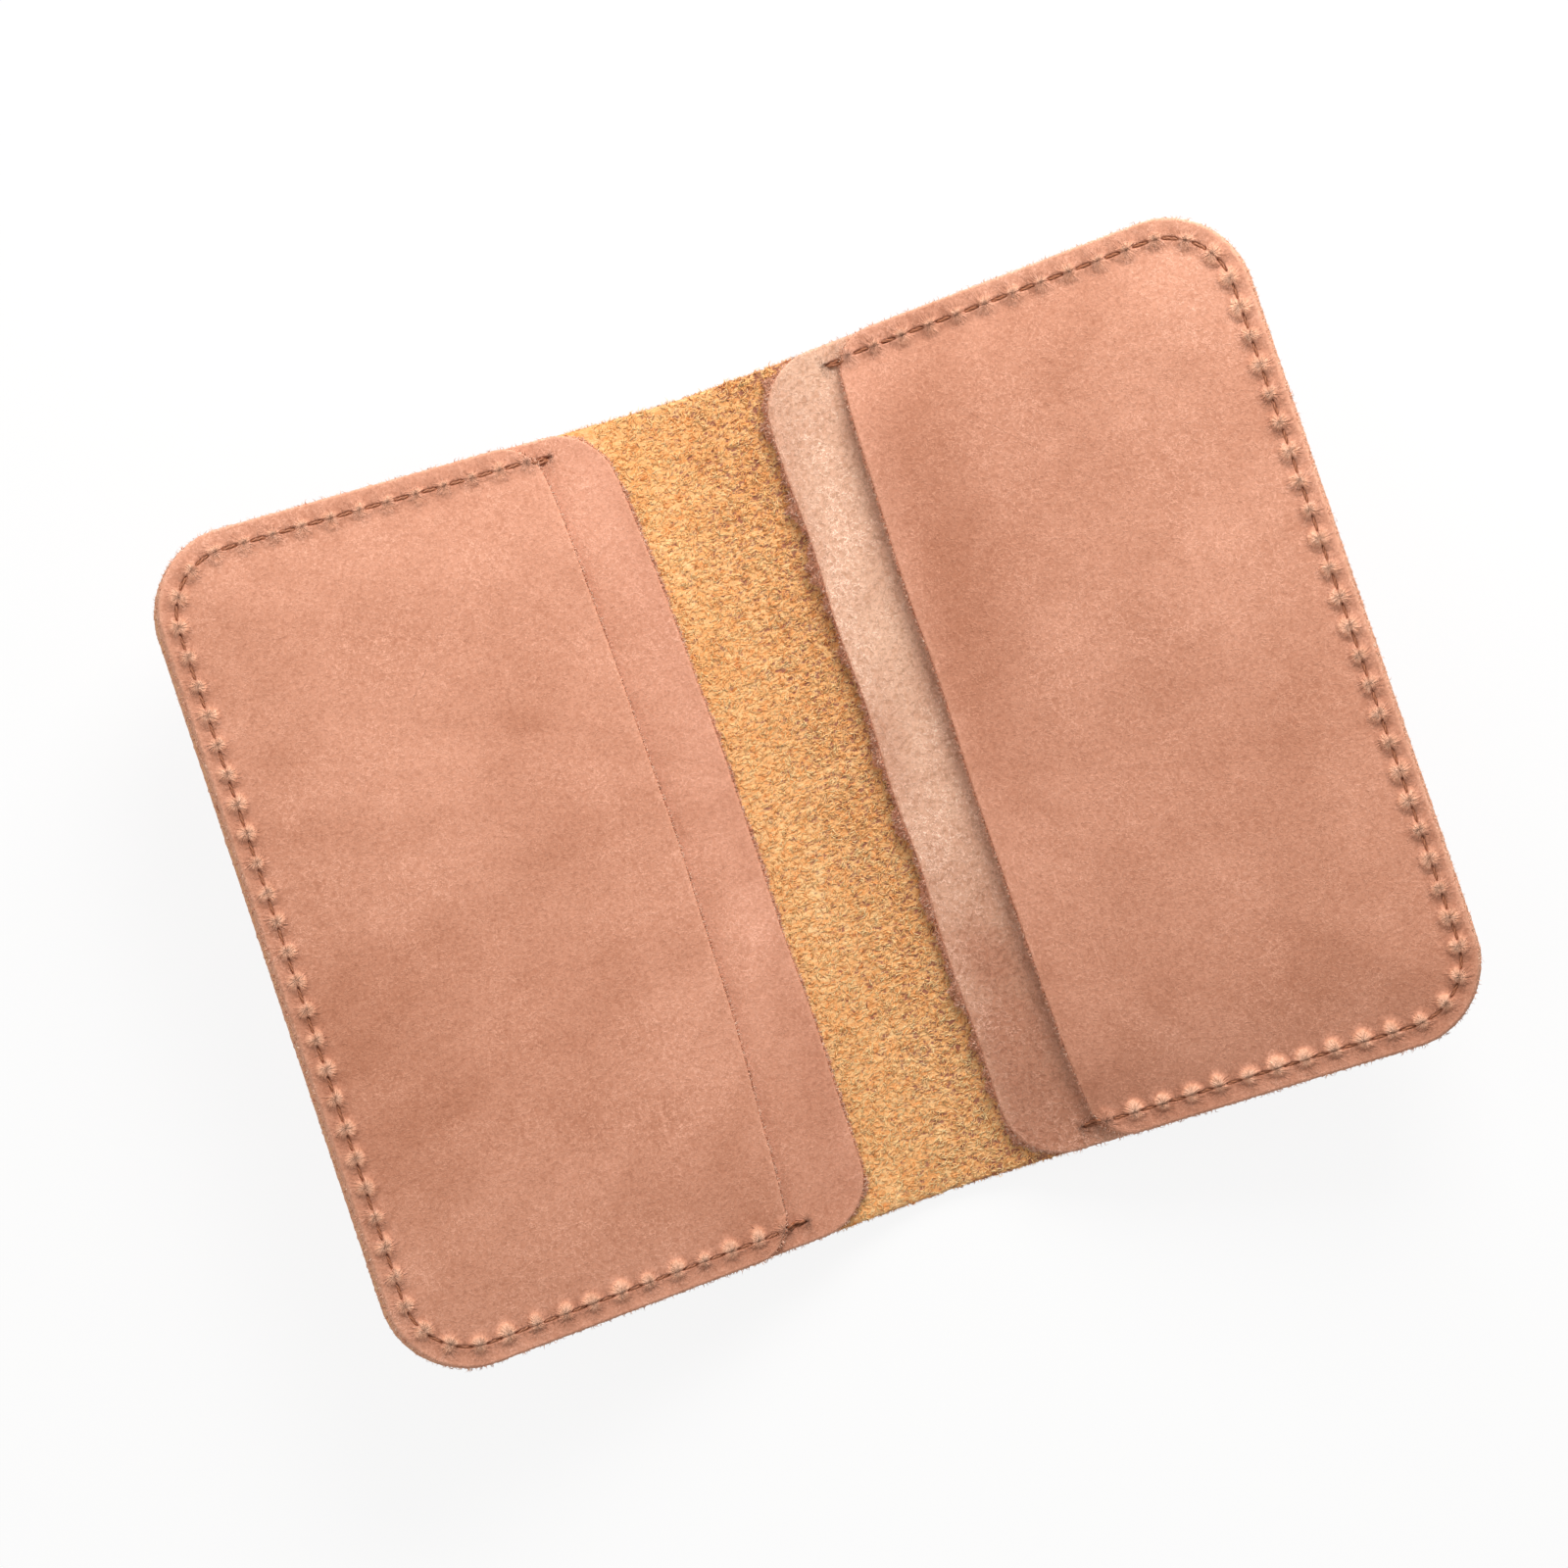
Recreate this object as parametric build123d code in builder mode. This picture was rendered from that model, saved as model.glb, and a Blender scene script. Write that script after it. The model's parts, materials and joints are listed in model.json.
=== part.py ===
from build123d import *
import os
from math import cos, radians, sin, sqrt

# A bifold card holder in thick leather, standing half open on its spine.
#
# One cover reaches over both halves and the spine. Each half carries two pocket panels,
# one on the other, saddle-stitched to the cover round three sides. The cover bends along
# two folds, so it is three solids here: the spine strip and the two halves.
#
# Frame, in millimetres: X across the halves, Y along the folds, Z up. The origin is the
# middle of the spine's underside.

os.makedirs("parts", exist_ok=True)

# ---- Driving dimensions ----
height = 100.0                # along the folds
back_pocket_depth = 57.7      # from its mouth to the outer edge
front_pocket_depth = 48.6
spine_gap = 22.0              # bare cover between the two back pocket mouths, laid flat
cover_thickness = 1.6
pocket_thickness = 1.2
card_room = 0.9               # height of one slot, for one 0.76 mm card
opening_angle = 17.5          # rise of each half at rest; 0 is flat, 90 is shut
closed_gap = 0.6              # between the two front pockets when shut
fold_clearance = 0.2          # between the spine strip and each half

corner_radius = 10.0          # outer corners of cover and pockets
back_mouth_radius = 6.5       # corners of a back pocket at its mouth
front_mouth_radius = 4.5
flat_rim = 4.2                # stitched rim that lies flat, before the back pocket rises
nesting_clearance = 0.15      # between the slopes of a front and a back pocket
slope_angle = 45.0            # of the raised field's edge

seam_side_margin = 1.9        # seam to the outer side
seam_end_margin = 2.4         # seam to the two ends
seam_corner_radius = 8.0
mouth_hole_inset = 1.3        # from the front pocket's mouth to its first hole
stitch_pitch = 3.5
thread_diameter = 0.6
hole_pass_diameter = 0.9      # the two passes of thread that share a hole
thread_sink = 0.42            # how deep a run lies in its groove
thread_clearance = 0.04       # between thread and leather

# ---- Sizes that follow ----
bend_shift = pocket_thickness * (sqrt(2) - 1)      # from a panel's inner to its outer kink
stack_height = 2 * (card_room + pocket_thickness)  # both pockets above the cover
fold_x = stack_height + closed_gap / 2             # the folds, on the cover's inner face
back_mouth = spine_gap / 2 - fold_x                # distances from the fold, outwards
half_length = back_mouth + back_pocket_depth
front_mouth = half_length - front_pocket_depth
seam_start = front_mouth + mouth_hole_inset - stitch_pitch
seam_side = half_length - seam_side_margin
seam_end = height / 2 - seam_end_margin
back_inset = flat_rim
front_inset = flat_rim - bend_shift - nesting_clearance

# Heights above the cover's inner face
back_rim_top = pocket_thickness
front_rim_top = 2 * pocket_thickness
run_lift = thread_diameter / 2 - thread_sink
front_run = front_rim_top + run_lift
end_run = back_rim_top + run_lift
outer_run = -cover_thickness - run_lift


def half_plane(side):
    """The cover's inner face on one half: X points outwards from the fold, Z inwards."""
    rise = radians(opening_angle)
    return Plane(
        origin=(side * fold_x, 0, cover_thickness),
        x_dir=(side * cos(rise), 0, sin(rise)),
        z_dir=(-side * sin(rise), 0, cos(rise)),
    )


def half_outline(start, inset=0.0, mouth_radius=0.0):
    """Sketch a half from start to its outer side, drawn in by inset."""
    with Locations((start, 0)):
        Rectangle(half_length - inset - start, height - 2 * inset, align=(Align.MIN, Align.CENTER))
    fillet(vertices().group_by(Axis.X)[-1], corner_radius - inset)
    if mouth_radius > 0:
        fillet(vertices().group_by(Axis.X)[0], mouth_radius)


def seam_path(start):
    """Draw a seam's line: out along one end, round the outer side, back along the other."""
    FilletPolyline(
        (start, seam_end),
        (seam_side, seam_end),
        (seam_side, -seam_end),
        (start, -seam_end),
        radius=seam_corner_radius,
    )


with BuildLine() as seam_line:
    seam_path(seam_start)
seam_wire = seam_line.wire()
stitch_count = round(seam_wire.length / stitch_pitch)
holes = [seam_wire @ (i / stitch_count) for i in range(stitch_count + 1)]


def saddle_stitching(plane, growth=0.0):
    """The thread of one seam or, grown by a clearance, the room it takes in the leather.

    Saddle stitching leaves a run of thread on both faces, joined through every hole.
    The last stitch at each end steps from the front pocket down to the back pocket.
    """
    run_radius = thread_diameter / 2 + growth
    pass_radius = hole_pass_diameter / 2 + growth
    with BuildPart() as thread:
        for level, start in ((front_run, front_mouth), (outer_run, seam_start)):
            with BuildLine(plane.offset(level)) as run:
                seam_path(start)
            with BuildSketch(Plane(origin=run.wire() @ 0, z_dir=run.wire() % 0)):
                Circle(run_radius)
            sweep(path=run.wire())
        for end in (seam_end, -seam_end):
            with BuildLine(plane) as step:
                Line((front_mouth, end, front_run), (seam_start, end, end_run))
            with BuildSketch(Plane(origin=step.wire() @ 0, z_dir=step.wire() % 0)):
                Circle(run_radius)
            sweep(path=step.wire())
            with Locations(plane):
                with Locations((front_mouth, end, front_run), (seam_start, end, end_run)):
                    Sphere(run_radius)
        with BuildSketch(plane.offset(outer_run)):
            with Locations(*holes[1:-1]):
                Circle(pass_radius)
        extrude(amount=front_run - outer_run)
        with BuildSketch(plane.offset(outer_run)):
            with Locations(holes[0], holes[-1]):
                Circle(pass_radius)
        extrude(amount=end_run - outer_run)
    return thread.part


def pocket_panel(plane, mouth, mouth_radius, lift, inset, stitching):
    """A panel flat on its rim and raised by lift inside it, open at its mouth."""
    past_mouth = mouth - 2 * (lift + pocket_thickness)
    with BuildPart() as panel:
        with BuildSketch(plane):
            half_outline(mouth)
        extrude(amount=pocket_thickness)
        with BuildSketch(plane.offset(pocket_thickness)):
            half_outline(past_mouth, inset - bend_shift)
        extrude(amount=lift, taper=slope_angle)
        with BuildSketch(plane):
            half_outline(past_mouth, inset)
        extrude(amount=lift, taper=slope_angle, mode=Mode.SUBTRACT)
        with BuildSketch(plane):
            half_outline(mouth, mouth_radius=mouth_radius)
        extrude(amount=lift + pocket_thickness, mode=Mode.INTERSECT)
        add(stitching, mode=Mode.SUBTRACT)
    return panel.part


# ---- The cover's spine strip ----
with BuildPart() as cover_spine:
    with BuildSketch(Plane.XY):
        Rectangle(2 * fold_x - fold_clearance, height)
    extrude(amount=cover_thickness)
cover_spine.part.label = "cover_spine"
export_step(cover_spine.part, "parts/cover_spine.step")

# ---- The two halves ----
for side_name, side in (("left", -1), ("right", 1)):
    inner_face = half_plane(side)
    stitching = saddle_stitching(inner_face, thread_clearance)

    with BuildPart() as cover_half:
        with BuildSketch(inner_face.offset(-cover_thickness)):
            half_outline(fold_clearance / 2)
        extrude(amount=cover_thickness)
        add(stitching, mode=Mode.SUBTRACT)
    cover_half.part.label = f"cover_{side_name}_half"
    export_step(cover_half.part, f"parts/cover_{side_name}_half.step")

    back_pocket = pocket_panel(
        inner_face, back_mouth, back_mouth_radius, card_room, back_inset, stitching
    )
    back_pocket.label = f"{side_name}_back_pocket"
    export_step(back_pocket, f"parts/{side_name}_back_pocket.step")

    front_pocket = pocket_panel(
        inner_face.offset(back_rim_top),
        front_mouth,
        front_mouth_radius,
        2 * card_room,
        front_inset,
        stitching,
    )
    front_pocket.label = f"{side_name}_front_pocket"
    export_step(front_pocket, f"parts/{side_name}_front_pocket.step")

    seam_thread = saddle_stitching(inner_face)
    seam_thread.label = f"{side_name}_seam_thread"
    export_step(seam_thread, f"parts/{side_name}_seam_thread.step")

print(f"folds at x = +-{fold_x:.3f}, half length {half_length:.3f}")
print(f"seam {seam_wire.length:.2f} long, {stitch_count} stitches")
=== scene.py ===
import json
from math import cos, pi, radians, sin, tan

import bmesh
import bpy
import numpy as np
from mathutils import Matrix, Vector


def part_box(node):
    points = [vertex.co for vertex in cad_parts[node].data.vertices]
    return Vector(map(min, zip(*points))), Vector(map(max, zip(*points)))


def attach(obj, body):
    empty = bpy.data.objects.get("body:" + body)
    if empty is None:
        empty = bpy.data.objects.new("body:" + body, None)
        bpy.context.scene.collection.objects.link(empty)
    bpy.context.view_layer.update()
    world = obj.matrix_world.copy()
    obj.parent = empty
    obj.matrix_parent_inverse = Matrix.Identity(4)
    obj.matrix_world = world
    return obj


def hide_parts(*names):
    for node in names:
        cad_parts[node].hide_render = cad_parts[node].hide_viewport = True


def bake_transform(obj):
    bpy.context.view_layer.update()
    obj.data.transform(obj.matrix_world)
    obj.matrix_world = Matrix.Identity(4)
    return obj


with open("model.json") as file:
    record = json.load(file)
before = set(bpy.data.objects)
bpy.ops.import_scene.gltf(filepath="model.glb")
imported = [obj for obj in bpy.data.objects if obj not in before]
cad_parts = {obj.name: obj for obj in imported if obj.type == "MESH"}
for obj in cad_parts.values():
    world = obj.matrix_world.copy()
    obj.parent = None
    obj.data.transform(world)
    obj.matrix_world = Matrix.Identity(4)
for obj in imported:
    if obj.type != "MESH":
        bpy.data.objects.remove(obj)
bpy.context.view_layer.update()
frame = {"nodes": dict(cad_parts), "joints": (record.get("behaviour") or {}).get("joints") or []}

# A bifold card holder: one thick cover, grain out and flesh in, with two oiled pocket
# panels on each half, saddle-stitched round three sides. Shapes are worked out in
# millimetres on a flat half, u outwards from its fold, v along the fold and w up from the
# cover's inner face, and place() carries them to the frame in metres.
MM = 0.001

# ---- Facts of the leatherwork ----
panel_thickness = 1.2
outer_corner = 10.0
back_mouth_corner = 6.5
front_mouth_corner = 4.5
seam_side_margin = 1.9
seam_end_margin = 2.4
seam_corner = 8.0
mouth_hole_inset = 1.3
stitch_pitch = 3.5
thread_radius = 0.17
back_fullness = 0.5         # rise of a panel's field over its stitched rim
front_fullness = {-1: 0.75, 1: 1.5}
front_skive = 0.22          # how far a mouth's thinned flesh runs out under its grain
back_skive = {-1: 0.6, 1: 1.3}
edge_step = 0.26            # spacing of the points along a cut edge
bevel = 0.34                # rounding of a cut edge at its grain side
under_bevel = 0.14          # rounding at a panel's underside
cover_bevel = 0.2           # rounding at the cover's flesh side
# the grain by the cut is rubbed pale and also carries a painted highlight on the edge's rounding
wear_reach = 0.22           # how far in from the cut the grain is rubbed pale
cut_roughness = 0.05        # spread of a cut edge's points about its line
cut_swell = 0.02            # how far a cut edge stands out between its bevels
mouth_wave = 0.16           # how unevenly a mouth was cut
bow_reach = 12              # how far in from its mouth a panel's bow dies away
# A tight stitch raises a half-dome inside the seam, the first of each pair, and one outside.
dome_heights = (0.40, 0.37)
dome_widths = (1.3, 0.9)
dome_lengths = (1.32, 1.15)
crease_width = 0.12         # of the line between a pair of half-domes
groove_depth = 0.42
valley_depth = 0.13
valley_width = 1.5
thread_sunk = 0.30          # how far the thread's middle lies under the leather's face
dive_depth = 1.7            # how much deeper it goes at a hole
dive_reach = 0.52
doubled_apart = 0.42        # how far a doubled stitch's second run lies beside the first
doubled_rise = 0.44         # and above it
# Real loose fibres are about half as wide as these, which are drawn wider so that they show.
fray_width = 0.11
nap_width = 0.155
fuzz_width = 0.09
fray_per_mm = 30
nap_fibres = 8800           # on each half of the spine
spine_end_fibres = 420
combed = radians(30)        # the way the nap lies on both halves, from the frame's +X to +Y
flesh_relief = 0.05         # how far the matted nap makes the flesh side lumpy

# How far each mouth stands out of its straight line, at its -v end, middle and +v end.
mouth_bows = {
    "left_front": (-1.0, 1.1, 0.1),
    "left_back": (1.5, 1.45, -0.5),
    "right_front": (0.0, 0.8, 0.0),
    "right_back": (1.45, 1.45, 1.4),
}
# A piece's faces, in the order of its materials.
upper_slot, cut_slot, under_slot, fibre_slot = range(4)
# Each cloud: its middle u and v, its reach in u and v, and how much paler it is; most are oil
# clouds, the others painted light and shade.
oil_and_light_clouds = {
    -1: (
        (34, -4, 12, 17, -0.22),
        (57, -12, 10, 22, -0.22),
        # painted shade, darker towards the -v end
        (38, -70, 60, 42, -0.15),
        (44, 10, 10, 10, 0.10),
        (25, 45, 22, 14, -0.02),
        # painted light on the back panel's strip by the spine
        (10, -8, 5, 26, 0.25),
    ),
    1: (
        (21, 16, 7, 24, -0.32),
        # painted shade, darker towards the -v end
        (34, -60, 40, 40, -0.15),
        (61, 38, 9, 20, 0.15),
        (30, 40, 14, 12, -0.15),
        (58, -4, 8, 22, -0.05),
        # painted light on the back panel's strip by the spine; the next darkens its -v end
        (10, 20, 5, 50, 0.45),
        (10, -48, 5, 32, -0.85),
    ),
}

# ---- Facts from the frame ----
joints = {joint["name"]: joint for joint in frame["joints"]}
fold_x = joints["right_fold"]["pos_m"][0] / MM
cover_thickness = joints["right_fold"]["pos_m"][2] / MM
rise = -radians(joints["right_fold"]["range_deg"][0])
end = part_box("cover_spine")[1][1] / MM


def node_span(name):
    """A right-hand node's reach outwards from the fold."""
    points = np.empty(len(frame["nodes"][name].data.vertices) * 3)
    frame["nodes"][name].data.vertices.foreach_get("co", points)
    x, _, z = points.reshape(-1, 3).T / MM
    out = (x - fold_x) * cos(rise) + (z - cover_thickness) * sin(rise)
    return out.min(), out.max()


half_length = node_span("cover_right_half")[1]
back_mouth = node_span("right_back_pocket")[0]
front_mouth = node_span("right_front_pocket")[0]

# The cover bends in one arc from half to half, tangent to both and to the spine's middle.
bend_radius = fold_x / tan(rise / 2)
spine_middle = fold_x - bend_radius * rise


def place(side, u, v, w):
    """Points of a half in the frame, in metres."""
    turn = np.clip((u - spine_middle) / bend_radius, 0, rise)
    bent = u < fold_x
    past_middle = np.clip(u - spine_middle, None, 0)
    x = np.where(bent, bend_radius * np.sin(turn) + past_middle, fold_x + u * cos(rise))
    z = np.where(bent, bend_radius * (1 - np.cos(turn)), u * sin(rise)) + cover_thickness
    x = x - w * np.sin(turn)
    z = z + w * np.cos(turn)
    return np.column_stack((side * x, v, z)) * MM


# ---- Camera ----
camera = bpy.data.objects.new("camera", bpy.data.cameras.new("camera"))
camera.data.lens = 78.75
camera.data.sensor_width = 36.0
camera.data.clip_start = 0.01
camera_place = (-18.66, -7.92, 411.6)
camera_turn = (2.04, -1.61, -18.68)
camera.location = Vector(camera_place) * MM
camera.rotation_euler = [radians(degrees) for degrees in camera_turn]
bpy.context.scene.collection.objects.link(camera)
bpy.context.scene.camera = camera


# ---- Materials ----
def srgb(code):
    """An sRGB hex colour as linear RGBA."""
    channels = [int(code[i : i + 2], 16) / 255 for i in (1, 3, 5)]
    linear = [c / 12.92 if c <= 0.04045 else ((c + 0.055) / 1.055) ** 2.4 for c in channels]
    return (*linear, 1.0)


def add(tree, kind, inputs=(), out=0, **settings):
    """Add a node with its settings and links, and return its output, or the node if out is None.

    An input's value is a constant or another node's output. A colour Mix takes its amount
    as input 0 and its two colours as 6 and 7, and gives output 2. A MapRange takes a value
    as 0, the range it comes from as 1 and 2, and the range it goes to as 3 and 4.
    """
    node = tree.nodes.new(f"ShaderNode{kind}")
    for name, value in settings.items():
        setattr(node, name, value)
    for key, value in dict(inputs).items():
        if isinstance(value, bpy.types.NodeSocket):
            tree.links.new(value, node.inputs[key])
        else:
            node.inputs[key].default_value = value
    return node if out is None else node.outputs[out]


def new_material(name):
    """A material and its node tree, with nothing in it yet."""
    material = bpy.data.materials.new(name)
    material.use_nodes = True
    material.node_tree.nodes.clear()
    return material, material.node_tree


def millimetres(tree):
    """Where a point lies on the object, for patterns sized in millimetres."""
    where = add(tree, "TexCoord", out="Object")
    return add(tree, "VectorMath", {0: where, 1: (1 / MM,) * 3}, operation="MULTIPLY")


def ridges(tree, pattern, width):
    """Thin lines where a noise passes its middle value: 1 on the line, 0 past the width."""
    off = add(tree, "Math", {0: pattern, 1: 0.5}, operation="SUBTRACT")
    off = add(tree, "Math", {0: off}, operation="ABSOLUTE")
    return add(tree, "MapRange", {0: off, 1: 0.0, 2: width, 3: 1.0, 4: 0.0})


def stitch_wrinkles(tree):
    """Fine wrinkles that fan out of each stitch hole, strongest beside it."""
    wrinkle_width = 0.8
    fan_radius = 3.6            # of the circle through the noise that one fan walks round
    drift_per_metre = 900.0
    along = add(tree, "Attribute", out="Fac", attribute_name="along")
    inward = add(tree, "Attribute", out="Fac", attribute_name="inward")
    knot = add(tree, "Attribute", out="Fac", attribute_name="knot")
    heading = add(tree, "CombineXYZ", {"X": along, "Y": inward})
    heading = add(tree, "VectorMath", {0: heading}, operation="NORMALIZE")
    # the fan looks the same at every hole unless the noise is also moved along the seam
    drift = add(tree, "TexCoord", out="Object")
    drift = add(tree, "VectorMath", {0: drift, "Scale": drift_per_metre}, operation="SCALE")
    heading = add(tree, "VectorMath", {0: heading, "Scale": fan_radius}, operation="SCALE")
    mixed = add(tree, "VectorMath", {0: heading, 1: drift}, operation="ADD")
    inputs = {"Vector": mixed, "Scale": 1 / wrinkle_width, "Detail": 2, "Roughness": 0.6}
    fans = add(tree, "TexNoise", inputs)
    return add(tree, "Math", {0: fans, 1: knot}, operation="MULTIPLY")


def oiled_leather(name, dark, light, nap):
    """Vegetable-tanned leather, hot-stuffed with oil and wax, its grain buffed to a short nap.

    The oil moves as the leather bends, which leaves soft clouds a centimetre or two wide.
    The nap is curly wisps, matt and paler than the oil below, and a nap of 2 stands twice
    as high as one of 1. Real pores lie about a quarter of a millimetre apart and real wisps
    are under half a millimetre long. They are drawn at 0.36 and 0.75, so that they show.
    """
    material, tree = new_material(name)
    where = millimetres(tree)
    drawn_out = {"Vector": where, "Rotation": (0, 0, 0.9), "Scale": (1, 1 / 11, 1)}
    drawn_out = add(tree, "Mapping", drawn_out)
    noise = {}
    # each pattern's place, the size of its features in millimetres, its detail and roughness
    for pattern, at, size, detail, roughness in (
        ("clouds", where, 15, 3, 0.55),
        ("blots", where, 4, 3, 0.6),
        ("pores", where, 0.36, 3, 0.75),
        ("wisps", where, 0.75, 3, 0.6),
        ("standing nap", where, 9, 2, 0.55),
        ("mottle", where, 0.7, 3, 0.7),
        ("marks", drawn_out, 2.6, 1, 0.5),
        ("marked places", where, 19, 1, 0.55),
        ("dimples", where, 1.6, 3, 0.55),
    ):
        inputs = {"Vector": at, "Scale": 1 / size, "Detail": detail, "Roughness": roughness}
        noise[pattern] = add(tree, "TexNoise", inputs)
    amount = {}
    for value in ("oil", "relief", "worn", "knot"):
        amount[value] = add(tree, "Attribute", out="Fac", attribute_name=value)
    # how much of each shows: the source, the range it comes from and the range it goes to
    for effect, source, low, high, to_low, to_high in (
        ("clouds", noise["clouds"], 0.3, 0.7, -0.22, 0.22),
        ("blots", noise["blots"], 0.3, 0.7, -0.09, 0.09),
        # painted light and shade from the relief: the domes pale as pushed leather does and are
        # painted paler still, their crests get a painted highlight and the creases painted shade
        ("pale_dome_and_painted_light", amount["relief"], 0.02, 0.20, 0.0, 0.9),
        ("painted_crest_highlight", amount["relief"], 0.14, 0.36, 0.0, 0.7),
        ("painted_crease_shade", amount["relief"], -0.03, -0.40, 0.0, 0.9),
        ("pores", noise["pores"], 0.34, 0.66, 0.86, 1.08),
        ("standing nap", noise["standing nap"], 0.4, 0.65, 0.12 * nap, 0.34 * nap),
        ("mottle", noise["mottle"], 0.36, 0.52, 1 - 0.11 * nap, 1.0),
        ("marked places", noise["marked places"], 0.56, 0.64, 0.0, 0.16),
    ):
        inputs = {0: source, 1: low, 2: high, 3: to_low, 4: to_high}
        amount[effect] = add(tree, "MapRange", inputs)
    wisps = ridges(tree, noise["wisps"], 0.04)
    marks = ridges(tree, noise["marks"], 0.006)
    wrinkles = stitch_wrinkles(tree)
    for effect, a, b in (
        # the rim's pale wear, partly a painted highlight on its rounding
        ("rubbed", amount["worn"], 0.65),
        ("nap", wisps, amount["standing nap"]),
        ("marks", marks, amount["marked places"]),
        # painted highlight and shade along the fan wrinkles, evened out by painted shade at each
        # knot
        ("wrinkles", wrinkles, 0.9),
        ("pull", amount["knot"], -0.42),
    ):
        amount[effect] = add(tree, "Math", {0: a, 1: b}, operation="MULTIPLY")

    # the oil value brings in the oil clouds and the painted light and shade among them
    tone = amount["clouds"]
    for part in (amount["blots"], amount["oil"], 0.475):
        tone = add(tree, "Math", {0: tone, 1: part}, operation="ADD")
    colour = add(tree, "Mix", {0: tone, 6: srgb(dark), 7: srgb(light)}, 2, data_type="RGBA")
    # the leather pales where a stitch pushes it up, and is painted paler still against the domes'
    # shade; the crests get a painted highlight and the creases painted shade; the rim by the cut
    # is rubbed pale and painted with a highlight where its rounding catches light
    for effect, tint in (
        ("pale_dome_and_painted_light", "#FFB995"),
        ("painted_crest_highlight", "#FFCDAE"),
        ("painted_crease_shade", "#8C4B2E"),
        ("rubbed", "#FFC0A0"),
    ):
        inputs = {0: amount[effect], 6: colour, 7: srgb(tint)}
        colour = add(tree, "Mix", inputs, 2, data_type="RGBA")

    # the pores are darker and the wisps paler; the marks are from handling; the fan wrinkles by
    # each hole are painted as pale and dark lines, a painted highlight and shade, which the
    # painted shade at each knot evens out
    shade = amount["pores"]
    for operation, part in (
        ("ADD", amount["nap"]),
        ("ADD", -0.045 * nap),
        ("MULTIPLY", amount["mottle"]),
        ("ADD", amount["marks"]),
        ("ADD", amount["wrinkles"]),
        ("ADD", amount["pull"]),
    ):
        shade = add(tree, "Math", {0: shade, 1: part}, operation=operation)
    # where the leather is darker it is also redder, as oiled leather is
    channels = {"X": shade}
    for channel, power in (("Y", 1.35), ("Z", 1.60)):
        channels[channel] = add(tree, "Math", {0: shade, 1: power}, operation="POWER")
    shade = add(tree, "CombineXYZ", channels)
    inputs = {0: 1.0, 6: colour, 7: shade}
    colour = add(tree, "Mix", inputs, 2, data_type="RGBA", blend_type="MULTIPLY")

    surface = {}
    for height, depth in (
        (noise["pores"], 0.05),
        (wisps, 0.025 * nap),
        (noise["dimples"], 0.07),
        (wrinkles, 0.6),
    ):
        inputs = {"Height": height, "Distance": depth * MM, "Strength": 1.0, **surface}
        surface = {"Normal": add(tree, "Bump", inputs)}
    finish = {
        "Base Color": colour,
        "Roughness": 0.74,
        "IOR": 1.45,
        "Specular IOR Level": 0.22,
        "Sheen Weight": 0.10,
        "Sheen Roughness": 0.5,
        "Sheen Tint": srgb("#FFE3D2"),
        **surface,
    }
    shader = add(tree, "BsdfPrincipled", finish)
    add(tree, "OutputMaterial", {"Surface": shader}, None)
    return material


def cut_edge(name, smooth, raw, gap):
    """A knife-cut leather edge: pale and pressed at the rim, loose and browner at a mouth.

    Cut fibre bundles are about a tenth of a millimetre thick, and are drawn at twice that,
    so that they show.
    """
    material, tree = new_material(name)
    where = millimetres(tree)
    layer_size = 0.5
    bundle_size = 0.2
    looseness = add(tree, "Attribute", out="Fac", attribute_name="raw")
    inputs = {"Vector": where, "Scale": 1 / layer_size, "Detail": 4, "Roughness": 0.7}
    layers = add(tree, "TexNoise", inputs)
    inputs = {"Vector": where, "Scale": 1 / bundle_size, "Detail": 2, "Roughness": 0.6}
    specks = add(tree, "TexNoise", inputs)
    # loose fibre shows more gaps than the pressed rim
    deepest = add(tree, "Math", {0: looseness, 1: 0.45}, operation="MULTIPLY")
    deepest = add(tree, "Math", {0: 0.35, 1: deepest}, operation="ADD")
    gaps = add(tree, "MapRange", {0: specks, 1: 0.42, 2: 0.62, 3: 0.0, 4: 1.0})
    gaps = add(tree, "Math", {0: gaps, 1: deepest}, operation="MULTIPLY")
    pale = add(tree, "MapRange", {0: layers, 1: 0.5, 2: 0.7, 3: 0.0, 4: 0.5})
    fibre = srgb(smooth)
    for amount, tint in ((looseness, raw), (gaps, gap), (pale, "#F7CBB4")):
        fibre = add(tree, "Mix", {0: amount, 6: fibre, 7: srgb(tint)}, 2, data_type="RGBA")
    surface = {}
    for height in (layers, specks):
        inputs = {"Height": height, "Distance": 0.2 * MM, "Strength": 1.0, **surface}
        surface = {"Normal": add(tree, "Bump", inputs)}
    finish = {"Base Color": fibre, "Roughness": 0.9, "Specular IOR Level": 0.15, **surface}
    shader = add(tree, "BsdfPrincipled", finish)
    add(tree, "OutputMaterial", {"Surface": shader}, None)
    return material


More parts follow.
